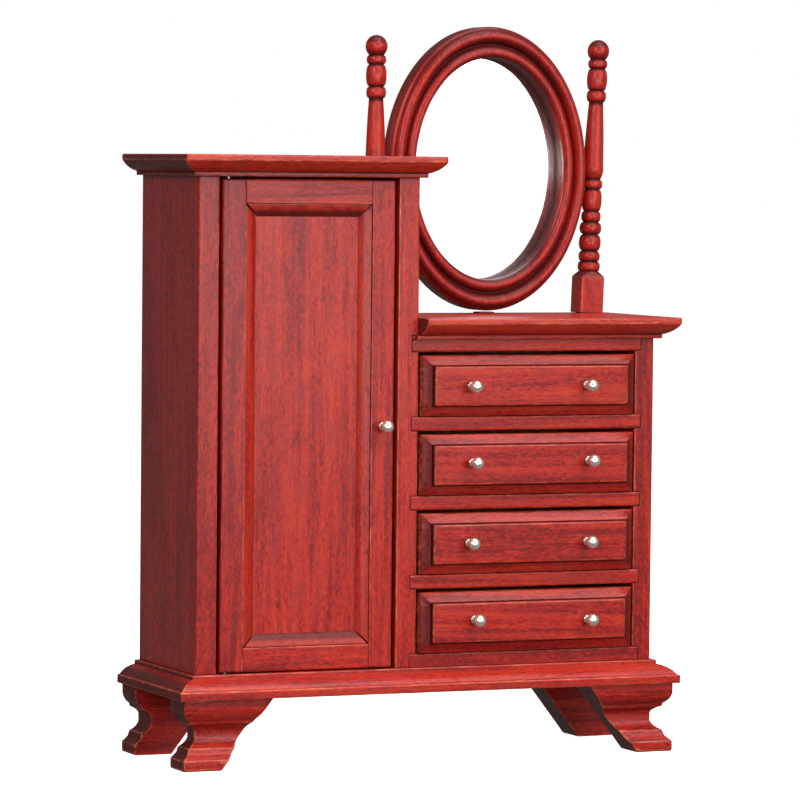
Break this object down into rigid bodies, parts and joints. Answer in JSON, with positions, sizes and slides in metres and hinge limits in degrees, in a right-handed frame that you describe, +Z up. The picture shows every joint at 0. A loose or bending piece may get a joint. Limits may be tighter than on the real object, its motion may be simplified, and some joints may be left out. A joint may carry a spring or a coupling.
{
  "type": "miniature wardrobe",
  "caption": "Dolls' house wardrobe with a panelled door, a chest of drawers beside it and a tilting oval mirror between turned posts.",
  "frame": {"origin": "bottom centre of the whole piece's box, on the plane that the feet stand on", "axes": "+Z up, -Y to the front where the door and drawers are, +X from the wardrobe to the chest"},
  "size_m": [0.1094, 0.0386, 0.1487],
  "materials": {
    "stained_wood": "red mahogany stain with fine dark pores under a semi-gloss lacquer",
    "inner_wood": "thin red wash on bare wood, matt",
    "knob_brass": "polished pale brass",
    "pin_steel": "bright drawn wire",
    "mirror_glass": "silvered glass"
  },
  "bodies": {
    "case": {"base_board": "stained_wood", "foot_front_left": "stained_wood", "foot_front_right": "stained_wood", "foot_rear_left": "stained_wood", "foot_rear_right": "stained_wood", "left_side": "stained_wood", "partition": "stained_wood", "right_side": "stained_wood", "wardrobe_back": "inner_wood", "chest_back": "inner_wood", "wardrobe_top_fillet": "stained_wood", "wardrobe_top": "stained_wood", "chest_top_fillet": "stained_wood", "chest_top": "stained_wood", "chest_top_rail": "stained_wood", "drawer_divider_1": "stained_wood", "drawer_divider_2": "stained_wood", "drawer_divider_3": "stained_wood", "chest_bottom_rail": "stained_wood", "hanging_rail": "inner_wood", "hinge_pins": "pin_steel", "mirror_post_left": "stained_wood", "mirror_post_right": "stained_wood", "mirror_pivot_pins": "pin_steel", "mirror_rest_peg": "stained_wood"},
    "door": {"door_hinge_stile": "stained_wood", "door_lock_stile": "stained_wood", "door_top_rail": "stained_wood", "door_bottom_rail": "stained_wood", "door_panel": "stained_wood", "door_panel_mouldings": "stained_wood", "door_knob": "knob_brass"},
    "drawer_1": {"drawer_1_front": "stained_wood", "drawer_1_sides": "inner_wood", "drawer_1_back": "inner_wood", "drawer_1_bottom": "inner_wood", "drawer_1_knobs": "knob_brass"},
    "drawer_2": {"drawer_2_front": "stained_wood", "drawer_2_sides": "inner_wood", "drawer_2_back": "inner_wood", "drawer_2_bottom": "inner_wood", "drawer_2_knobs": "knob_brass"},
    "drawer_3": {"drawer_3_front": "stained_wood", "drawer_3_sides": "inner_wood", "drawer_3_back": "inner_wood", "drawer_3_bottom": "inner_wood", "drawer_3_knobs": "knob_brass"},
    "drawer_4": {"drawer_4_front": "stained_wood", "drawer_4_sides": "inner_wood", "drawer_4_back": "inner_wood", "drawer_4_bottom": "inner_wood", "drawer_4_knobs": "knob_brass"},
    "mirror": {"mirror_frame": "stained_wood", "mirror_glass": "mirror_glass", "mirror_backing": "inner_wood"}
  },
  "joints": [
    {"name": "door_hinge", "type": "hinge", "parent": "case", "child": "door", "pos_m": [-0.04315, -0.0112, 0.068], "axis": [0, 0, -1], "range_deg": [0, 105]},
    {"name": "drawer_1_slide", "type": "slide", "parent": "case", "child": "drawer_1", "axis": [0, -1, 0], "range_m": [0, 0.022]},
    {"name": "drawer_2_slide", "type": "slide", "parent": "case", "child": "drawer_2", "axis": [0, -1, 0], "range_m": [0, 0.022]},
    {"name": "drawer_3_slide", "type": "slide", "parent": "case", "child": "drawer_3", "axis": [0, -1, 0], "range_m": [0, 0.022]},
    {"name": "drawer_4_slide", "type": "slide", "parent": "case", "child": "drawer_4", "axis": [0, -1, 0], "range_m": [0, 0.022]},
    {"name": "mirror_tilt", "type": "hinge", "parent": "case", "child": "mirror", "pos_m": [0.025, 0.01665, 0.11915], "axis": [1, 0, 0], "range_deg": [-20, 20]}
  ]
}
